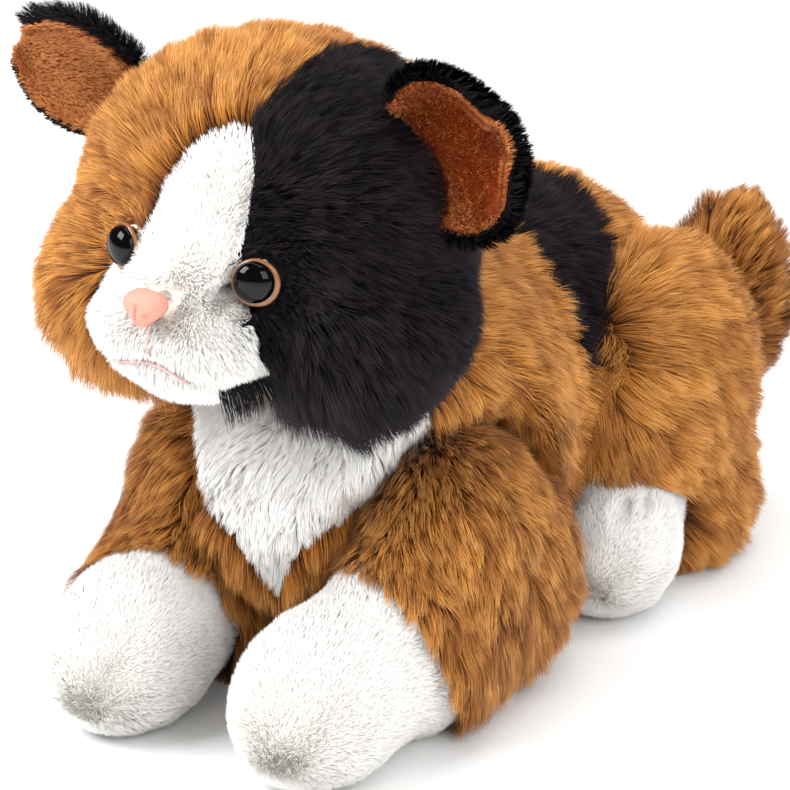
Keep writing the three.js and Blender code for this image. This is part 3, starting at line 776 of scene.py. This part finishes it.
# lean: degrees from upright at the root and at the tip; pull: how far a strand is drawn to its lock or tuft
LONG = {
    "length": even(15), "lean": (28, 74), "width": 0.4, "density": 3.1, "lock": 9.0, "lock_pull": 0.3,
    "tuft": 2.4, "tuft_pull": 0.55, "droop": 0.2, "steps": 3, "wander": 0.3, "streak": 0.2,
    "round_eyes": 0.72,
}
SLEEK = {
    **LONG, "lean": (22, 66), "width": 0.36, "density": 3.6, "lock": 7.0, "lock_pull": 0.2,
    "tuft": 2.0, "tuft_pull": 0.5, "wander": 0.28, "streak": 0.2,
}
SHORT = {
    "length": even(3.2), "lean": (20, 58), "width": 0.4, "density": 5.2, "lock": 5.0,
    "lock_pull": 0.05, "tuft": 1.4, "tuft_pull": 0.2, "droop": 0.0, "steps": 2, "wander": 0.12,
    "streak": 0.1, "round_eyes": 0.25,
}
STYLES = {
    "head_panel_ginger": {**SLEEK, "length": head_length, "comb": head_comb},
    "head_panel_black": {**SLEEK, "length": head_length, "comb": head_comb, "droop": 0.5},
    "blaze_muzzle_panel": {**SHORT, "length": even(3.6), "comb": head_comb},
    "chin_panel": {**SHORT, "length": even(4.2), "comb": head_comb},
    "body_side_left": {**LONG, "comb": body_comb, "length": body_length},
    "body_side_right": {**LONG, "comb": body_comb, "length": body_length},
    "back_patch": {**LONG, "comb": body_comb, "length": body_length},
    "bib_panel": {**LONG, "length": even(8), "density": 4.6, "tuft": 2.0, "lock": 6.0, "comb": body_comb,
                  "lean": (25, 65)},
    "belly_panel": {**SHORT, "length": even(5), "density": 1.0, "comb": body_comb},
    "tail_skin": {**LONG, "length": even(12), "lean": (15, 58), "comb": tail_comb},
}
for side_name, side in (("left", 1), ("right", -1)):
    front_tip, hind_tip = [side * 37, -156, 8], [side * 68, 10, 8]
    STYLES["paw_" + side_name] = {**SHORT, "length": even(3.0), "comb": paw_comb(front_tip)}
    STYLES["sleeve_" + side_name] = {**LONG, "comb": sleeve_comb(side), "length": sleeve_length}
    STYLES["hind_foot_" + side_name] = {**SHORT, "length": even(3.2), "comb": paw_comb(hind_tip)}
    STYLES["thigh_" + side_name] = {**LONG, "comb": thigh_comb(side), "length": thigh_length}


def grow(name, form):
    part = form.part
    others = [f for f in FORMS.values() if f is not form]
    panels = part["panels"]
    points, triangles, owner = joined(panels)
    panel_tree = tree_of(points, triangles)
    densest = max(STYLES[panel]["density"] for panel in panels)
    places, face, shares = scatter(form.points, form.faces, densest)
    normals = unit((form.normals[form.faces[face]] * shares[:, :, None]).sum(1))
    free = (places[:, 2] > 2.5) | (normals[:, 2] > -0.6)
    for other in others:
        free &= other.height(places) > 0.8
    if name == "head":
        free &= np.linalg.norm(places - PATTERN_NECK, axis=1) > 71.5
        for eye in EYES.values():
            free &= np.linalg.norm(places - eye["seat"], axis=1) > 7.9
        q = unrolled(places) - unrolled(NOSE_POINT)
        free &= (np.abs(q[:, 0]) > 6.0) | (q[:, 2] > 4.0) | (q[:, 2] < -5.0) | (places[:, 1] > -140)
    if name == "body":
        off = places - PATTERN_NECK
        axis = unit(NECK_AXIS)
        aside = np.linalg.norm(off - (off @ axis)[:, None] * axis, axis=1)
        free &= (aside > 38) | (off @ axis < 0)
    places, normals = places[free], normals[free]
    belongs = np.array([owner[panel_tree.find_nearest(Vector(p))[2]] for p in places.tolist()])
    for k, panel in enumerate(panels):
        style = STYLES[panel]
        chosen = np.flatnonzero(belongs == k)
        chosen = chosen[rng.random(len(chosen)) < style["density"] / densest]
        if len(chosen) < 10:
            continue
        roots, up = places[chosen], normals[chosen]
        plant(panel + "_pile", roots, up, style, PANEL_PILE[panel], part["body"], form, others)


def gathered(lines, roots, up, comb, length, lean, style, size, pull, power):
    """The lines drawn towards the leading strand of the lock that each one belongs to."""
    count = len(roots)
    wanted = max(4, int(count / style["density"] / size**2))
    centres = rng.choice(count, min(wanted, count), replace=False)
    owner = nearest_of(roots, roots[centres])
    lead = strand_line(roots[centres], up[centres], comb[centres], length[centres], lean[centres],
                       style["droop"], style["steps"])
    s = (np.arange(style["steps"] + 1) / style["steps"])[None, :, None]
    share = pull * rng.uniform(0.5, 1.3, len(centres))[owner] * rng.uniform(0.6, 1.1, count)
    return lines + (lead[owner] - lines) * share[:, None, None] * s**power, owner, len(centres)


def plant(name, roots, up, style, colour, body, form, others):
    count = len(roots)
    comb = style["comb"](roots) + (wander(roots, 34, 5) + 0.5 * wander(roots, 9, 6)) * style["wander"]
    comb = unit(comb - (comb * up).sum(1)[:, None] * up)
    length = style["length"](roots)
    if form is FORMS["head"] and body == "head":
        for eye in EYES.values():
            off = roots - eye["seat"]
            distance = np.linalg.norm(off, axis=1)
            near = 1 - smoothstep(distance, 9, 24)
            length = length * (1 - style["round_eyes"] * near)
            comb = unit(comb + unit(off - (off * up).sum(1)[:, None] * up) * (near * 1.1)[:, None])
    lean = np.radians(np.array(style["lean"], float))[None].repeat(count, 0)
    lean = np.clip(lean + wander(roots, 12, 7)[:, :1] * 0.18, 0.05, 1.45)
    length = length * (1 + 0.16 * wander(roots, 10, 8)[:, 0])

    single = rng.normal(0, 0.2, count)
    aside = np.cross(up, comb)
    own_comb = comb * np.cos(single)[:, None] + aside * np.sin(single)[:, None]
    own_lean = np.clip(lean + rng.normal(0, 0.12, (count, 1)), 0.02, 1.5)
    own_length = length * rng.uniform(0.72, 1.1, count)
    lines = strand_line(roots, up, own_comb, own_length, own_lean, style["droop"], style["steps"])
    lines, tuft, tufts = gathered(lines, roots, up, own_comb, length, own_lean, style,
                                  style["tuft"], style["tuft_pull"], 1.2)
    lines, lock, locks = gathered(lines, roots, up, comb, length, lean, style,
                                  style["lock"], style["lock_pull"], 1.8)

    flat = lines.reshape(-1, 3)
    for other in others:
        flat = other.pushed_out(flat, 0.9)
    flat = form.pushed_out(flat, 0.25)
    flat[:, 2] = np.maximum(flat[:, 2], 0.4 + 0.6 * rng.random(len(flat)))
    lines = flat.reshape(lines.shape)
    lines[:, 0] = roots - up * 0.3

    streak = style["streak"]
    shade = 0.5 + rng.normal(0, streak, tufts)[tuft] + rng.normal(0, streak * 0.6, locks)[lock]
    shade += rng.normal(0, 0.12, count) + wander(roots, 60, 9)[:, 0] * 0.12
    width = style["width"] * rng.uniform(0.7, 1.15, count)
    ribbons(name, lines, up, width, shade, colour, body)


for name, form in FORMS.items():
    grow(name, form)


# ---- ears ----
def remeshed(node, voxel, rounds):
    """A CAD node's closed mesh, remade with small even faces and smoothed."""
    points, triangles = node_mesh(node)
    source = new_object(node + "_source", points, triangles)
    modifier = source.modifiers.new("remesh", "REMESH")
    modifier.mode = "VOXEL"
    modifier.voxel_size = voxel * MM
    graph = bpy.context.evaluated_depsgraph_get()
    made = bpy.data.meshes.new_from_object(source.evaluated_get(graph))
    bpy.data.objects.remove(source)
    made.calc_loop_triangles()
    points = np.array([v.co for v in made.vertices], float) / MM - SHIFT
    triangles = np.empty(len(made.loop_triangles) * 3, np.int32)
    made.loop_triangles.foreach_get("vertices", triangles)
    edges = np.array([e.vertices[:] for e in made.edges], np.int32)
    for axis in range(3):
        points[:, axis] = spread(points[:, axis], edges, rounds)
    return points, triangles.reshape(-1, 3)


def far_rim(p):
    """The right ear's pile: short along its lower edge, long along the upper one."""
    return 1.5 + 4.5 * smoothstep((p - rolled([-58.5, -93, 202])) @ np.array([0.5, 0, 0.85]), -6, 4)


for side_name, side in (("left", 1), ("right", -1)):
    body = "ear_" + side_name
    lining_points, lining_faces = remeshed("ear_lining_" + side_name, 0.8, 6)
    back_points, back_faces = remeshed("ear_back_" + side_name, 0.8, 6)
    for node, points, faces, colour, slot_name in (
        ("ear_lining_" + side_name, lining_points, lining_faces, "lining", "ear_lining"),
        ("ear_back_" + side_name, back_points, back_faces, "black", "black_short_pile"),
    ):
        cloth = new_object(node + "_cloth", points, faces, [BACKING[colour]])
        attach(cloth, body)
        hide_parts(node)
    back_tree = tree_of(back_points, back_faces)
    lining_tree = tree_of(lining_points, lining_faces)
    base = rolled([side * 58.5, -93, 202])
    out = rolled([side * (58.5 + 0.877), -93 - 0.21, 202 + 0.43]) - base
    rim = even(5.5) if side > 0 else far_rim
    for node, points, faces, other, style, colour in (
        ("ear_lining_" + side_name, lining_points, lining_faces, back_tree,
         {**SHORT, "length": even(2.4)}, "lining"),
        ("ear_back_" + side_name, back_points, back_faces, lining_tree,
         {**SHORT, "length": rim, "lean": (20, 50), "steps": 3, "tuft_pull": 0.5}, "short_black"),
    ):
        normals = vertex_normals(points, faces)
        places, face, shares = scatter(points, faces, style["density"])
        up = unit((normals[faces[face]] * shares[:, :, None]).sum(1))
        ahead = places + up * 1.2
        gap = np.array([other.find_nearest(Vector(p))[3] for p in ahead.tolist()])
        free = (gap > 1.3) & (head.height(places) > 1.0)
        places, up = places[free], up[free]
        style["comb"] = lambda p, out=out: np.tile(out, (len(p), 1))
        plant(node + "_pile", places, up, style, colour, body, head, [])


# ---- eyes ----
def turned(name, profile, seat, facing, segments, material):
    """A turned piece: profile is (radius, height) from the axis out and back to the axis."""
    side_way = unit(np.cross(facing, [0, 0, 1.0]))
    up_way = np.cross(side_way, facing)
    points, faces = [], []
    angles = np.arange(segments) / segments * 2 * math.pi
    for radius, high in profile:
        around = np.cos(angles)[:, None] * side_way + np.sin(angles)[:, None] * up_way
        points.append(seat + facing * high + radius * around)
    for k in range(len(profile) - 1):
        for j in range(segments):
            a, b = k * segments + j, k * segments + (j + 1) % segments
            faces += [[a, b, b + segments], [a, b + segments, a + segments]]
    points = np.concatenate(points)
    first, last = len(points), len(points) + 1
    points = np.concatenate([points, [seat + facing * profile[0][1], seat + facing * profile[-1][1]]])
    final = (len(profile) - 1) * segments
    for j in range(segments):
        faces.append([first, (j + 1) % segments, j])
        faces.append([last, final + j, final + (j + 1) % segments])
    return new_object(name, points, faces, [material])


amber, _, shader, _ = speckled_material("eye_amber", 0.22, 0.5, 900, [(0.3, "6E4224"), (0.7, "A87448")])
shader.inputs["Coat Weight"].default_value = 0.6
shader.inputs["Coat Roughness"].default_value = 0.05
pupil, _, shader, _ = speckled_material("eye_black", 0.08, 0.15, 300, [(0.3, "030303"), (0.7, "0A0808")])
shader.inputs["Coat Weight"].default_value = 0.25
shader.inputs["Coat Roughness"].default_value = 0.02

IRIS_PROFILE = [
    (2.0, -11.0), (2.0, -0.2), (6.9, -0.2), (7.4, 0.2), (7.5, 0.7), (7.3, 1.2), (6.8, 1.55), (6.0, 1.6),
]
DOME_RADIUS = 6.5
DOME_HEIGHT = 4.1
DOME_FOOT = 1.5         # above the eye's seat
DOME_RINGS = 13
EYE_SEGMENTS = 48
DOME_PROFILE = [(DOME_RADIUS, DOME_FOOT)]
for k in range(1, DOME_RINGS):
    angle = k / DOME_RINGS * math.pi / 2
    DOME_PROFILE.append((DOME_RADIUS * math.cos(angle), DOME_FOOT + DOME_HEIGHT * math.sin(angle)))

for side_name, eye in EYES.items():
    seat, facing = eye["seat"], eye["facing"]
    iris = turned("eye_iris_" + side_name + "_ring", IRIS_PROFILE, seat, facing, EYE_SEGMENTS, amber)
    inwards = -0.5 if side_name == "left" else 0.5
    offset = rolled([inwards, 0, 0.35]) - rolled([0.0, 0, 0])
    offset = offset - (offset @ facing) * facing
    seat = seat + offset
    ball = turned("eye_pupil_" + side_name + "_dome", DOME_PROFILE, seat, facing, EYE_SEGMENTS, pupil)
    for obj, node, slot_name in ((iris, "eye_iris_", "eye_amber"), (ball, "eye_pupil_", "eye_black")):
        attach(obj, "head")
        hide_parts(node + side_name)

# ---- nose ----
vinyl, tree, shader, noise = speckled_material(
    "nose_vinyl", 0.55, 0.35, 1500, [(0.3, "E08C7A"), (0.7, "EDA390")])
bump = tree.nodes.new("ShaderNodeBump")
bump.inputs["Strength"].default_value = 0.25
bump.inputs["Distance"].default_value = 0.0002
tree.links.new(noise.outputs["Fac"], bump.inputs["Height"])
tree.links.new(bump.outputs["Normal"], shader.inputs["Normal"])


def nose_outline(angle):
    """A rounded triangle: wide and nearly flat on top, a soft point below."""
    x, z = math.cos(angle), math.sin(angle)
    power = 2.6
    top = (abs(x) ** power + abs(z / 0.62) ** power) ** (-1 / power)
    if z >= 0:
        return 7.0 * x * top, 6.4 * z * top
    narrow = 1 - 0.62 * (-z) ** 1.3
    return 7.0 * x * narrow, 6.8 * z


rings, spokes = 14, 72
points, faces = [rolled([0, -160.3, 160])], []
for i in range(1, rings + 1):
    rho = i / rings
    for j in range(spokes):
        x, z = nose_outline(j / spokes * 2 * math.pi)
        x, z = x * rho, z * rho
        high = 4.6 * (1 - rho**3.2) ** 0.6
        high -= 0.75 * math.exp(-(x / 0.45) ** 2) * (1 - rho**4) * float(smoothstep(-z, -2.2, -0.2))
        for s in (-1, 1):
            high -= 1.3 * math.exp(-((x - s * 3.3) / 0.9) ** 2 - ((z + 1.9) / 0.8) ** 2)
        points.append(rolled([x, -156 - high + 0.12 * z, 160.4 + z]))
for j in range(spokes):
    faces.append([0, 1 + j, 1 + (j + 1) % spokes])
for i in range(rings - 1):
    for j in range(spokes):
        a, b = 1 + i * spokes + j, 1 + i * spokes + (j + 1) % spokes
        faces += [[a, a + spokes, b + spokes], [a, b + spokes, b]]
ring = 1 + (rings - 1) * spokes
behind = len(points)
points += [np.array(points[ring + j]) + [0, 2.5, 0] for j in range(spokes)]
points.append(rolled([0, -152, 160]))
for j in range(spokes):
    a, b = ring + j, ring + (j + 1) % spokes
    c, d = behind + j, behind + (j + 1) % spokes
    faces += [[a, c, d], [a, d, b], [c, behind + spokes, d]]
nose = new_object("nose_skin", np.array(points), faces, [vinyl])
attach(nose, "head")
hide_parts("nose")

# ---- mouth ----
pink, tree, shader = new_material("pink_thread", 0.6, 0.3)
wave = tree.nodes.new("ShaderNodeTexWave")
wave.inputs["Scale"].default_value = 1200
wave.bands_direction = "DIAGONAL"
ramp = ramp_node(tree, [(0.0, "E8A0A2"), (1.0, "F6C2BE")])
tree.links.new(wave.outputs["Fac"], ramp.inputs["Fac"])
tree.links.new(ramp.outputs["Color"], shader.inputs["Base Color"])


FACE_TREE = tree_of(head.points, head.faces)


def on_face(x, z, proud):
    """The point of the muzzle's cloth at x, z, brought forward by proud."""
    hit = FACE_TREE.ray_cast(Vector(rolled([x, -230, z])), Vector((0, 1, 0)))
    return np.array(hit[0]) + [0, -proud, 0]


def tube(name, line, radius, material, sides=8):
    line = np.array(line)
    points, faces = [], []
    for k, here in enumerate(line):
        ahead = unit(line[min(k + 1, len(line) - 1)] - line[max(k - 1, 0)])
        a = unit(np.cross(ahead, [0.1, 1.0, 0.05]))
        b = np.cross(ahead, a)
        for j in range(sides):
            angle = j / sides * 2 * math.pi
            points.append(here + radius * (a * math.cos(angle) + b * math.sin(angle)))
    for k in range(len(line) - 1):
        for j in range(sides):
            p, q = k * sides + j, k * sides + (j + 1) % sides
            faces += [[p, q, q + sides], [p, q + sides, p + sides]]
    points += [line[0], line[-1]]
    last = (len(line) - 1) * sides
    for j in range(sides):
        faces.append([len(points) - 2, (j + 1) % sides, j])
        faces.append([len(points) - 1, last + j, last + (j + 1) % sides])
    return new_object(name, np.array(points), faces, [material])


philtrum = [on_face(0, 153 - 13 * k / 12, 2.2) for k in range(13)]
smile = [on_face(13 * u, 140 - 3.2 * u * u, 2.4) for u in np.linspace(-1, 1, 31)]
for label, line, radius in (("philtrum", philtrum, 0.35), ("smile", smile, 0.4)):
    thread = tube("mouth_" + label, line, radius, pink)
    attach(thread, "head")
    if label == "smile":
        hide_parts("mouth_thread")

# ---- hidden fittings ----
plastic = speckled_material("fixing_plastic", 0.4, 0.5, 500, [(0.3, "DEDCD4"), (0.7, "EEECE6")])[0]
for node in ("eye_washer_left", "eye_washer_right", "nose_washer"):
    mesh = frame["nodes"][node].data
    mesh.materials.clear()
    mesh.materials.append(plastic)
bag_cloth = cloth_material("pellet_cloth", "CFC8BA", "DFD9CD", 700)
for node, label, material, body, slot_name in (
    ("pellet_bag", "pellet_bag_cloth", bag_cloth, "body", "pellet_cloth"),
    ("neck_stuffing", "neck_padding", PADDING, "neck", "fibre_fill"),
):
    points, faces = remeshed(node, 2.0, 8)
    soft = new_object(label, points, faces, [material])
    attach(soft, body)
    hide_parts(node)

# ---- stage ----
floor_material = speckled_material("studio_floor", 0.9, 0.1, 30, [(0.0, "F7F7F7"), (1.0, "FAFAFA")])[0]
bpy.ops.mesh.primitive_plane_add(size=24, location=(0, 0, -0.0002))
floor = bpy.context.object
floor.name = "floor"
floor.data.materials.append(floor_material)

world = bpy.data.worlds.new("studio")
bpy.context.scene.world = world
world.use_nodes = True
background = world.node_tree.nodes["Background"]
background.inputs["Color"].default_value = (1, 1, 1, 1)
seen = world.node_tree.nodes.new("ShaderNodeLightPath")
strength = world.node_tree.nodes.new("ShaderNodeMapRange")
strength.inputs["To Min"].default_value = 0.95
strength.inputs["To Max"].default_value = 0.05
world.node_tree.links.new(seen.outputs["Is Glossy Ray"], strength.inputs["Value"])
world.node_tree.links.new(strength.outputs["Result"], background.inputs["Strength"])


def softbox(name, place, aim, width, height, power):
    light = bpy.data.lights.new(name, "AREA")
    light.shape = "RECTANGLE"
    light.size, light.size_y = width, height
    light.energy = power
    obj = bpy.data.objects.new(name, light)
    bpy.context.scene.collection.objects.link(obj)
    obj.location = place
    obj.rotation_euler = (Vector(aim) - Vector(place)).to_track_quat("-Z", "Y").to_euler()


softbox("key", (-0.75, -0.95, 1.15), (0, 0, 0.1), 0.8, 0.8, 22)
softbox("fill", (1.3, -0.5, 0.9), (0, 0, 0.1), 0.9, 0.9, 9)
softbox("top", (0.1, 0.5, 1.5), (0, 0, 0.1), 1.2, 1.2, 9)

CAMERA_DISTANCE = 0.9
camera_data = bpy.data.cameras.new("camera")
camera_data.lens = 116.7
camera_data.sensor_width = 36
camera = bpy.data.objects.new("camera", camera_data)
bpy.context.scene.collection.objects.link(camera)
azimuth, elevation = math.radians(31), math.radians(20.5)
level = math.cos(elevation)
back = Vector((math.sin(azimuth) * level, -math.cos(azimuth) * level, math.sin(elevation)))
target = Vector(((np.array([-2, -10, 85]) + SHIFT) * MM).tolist())
camera.location = target + back * CAMERA_DISTANCE
camera.rotation_euler = back.to_track_quat("Z", "Y").to_euler()
camera_data.clip_start, camera_data.clip_end = 0.01, 50
bpy.context.scene.camera = camera
bpy.context.scene.view_settings.view_transform = "Standard"
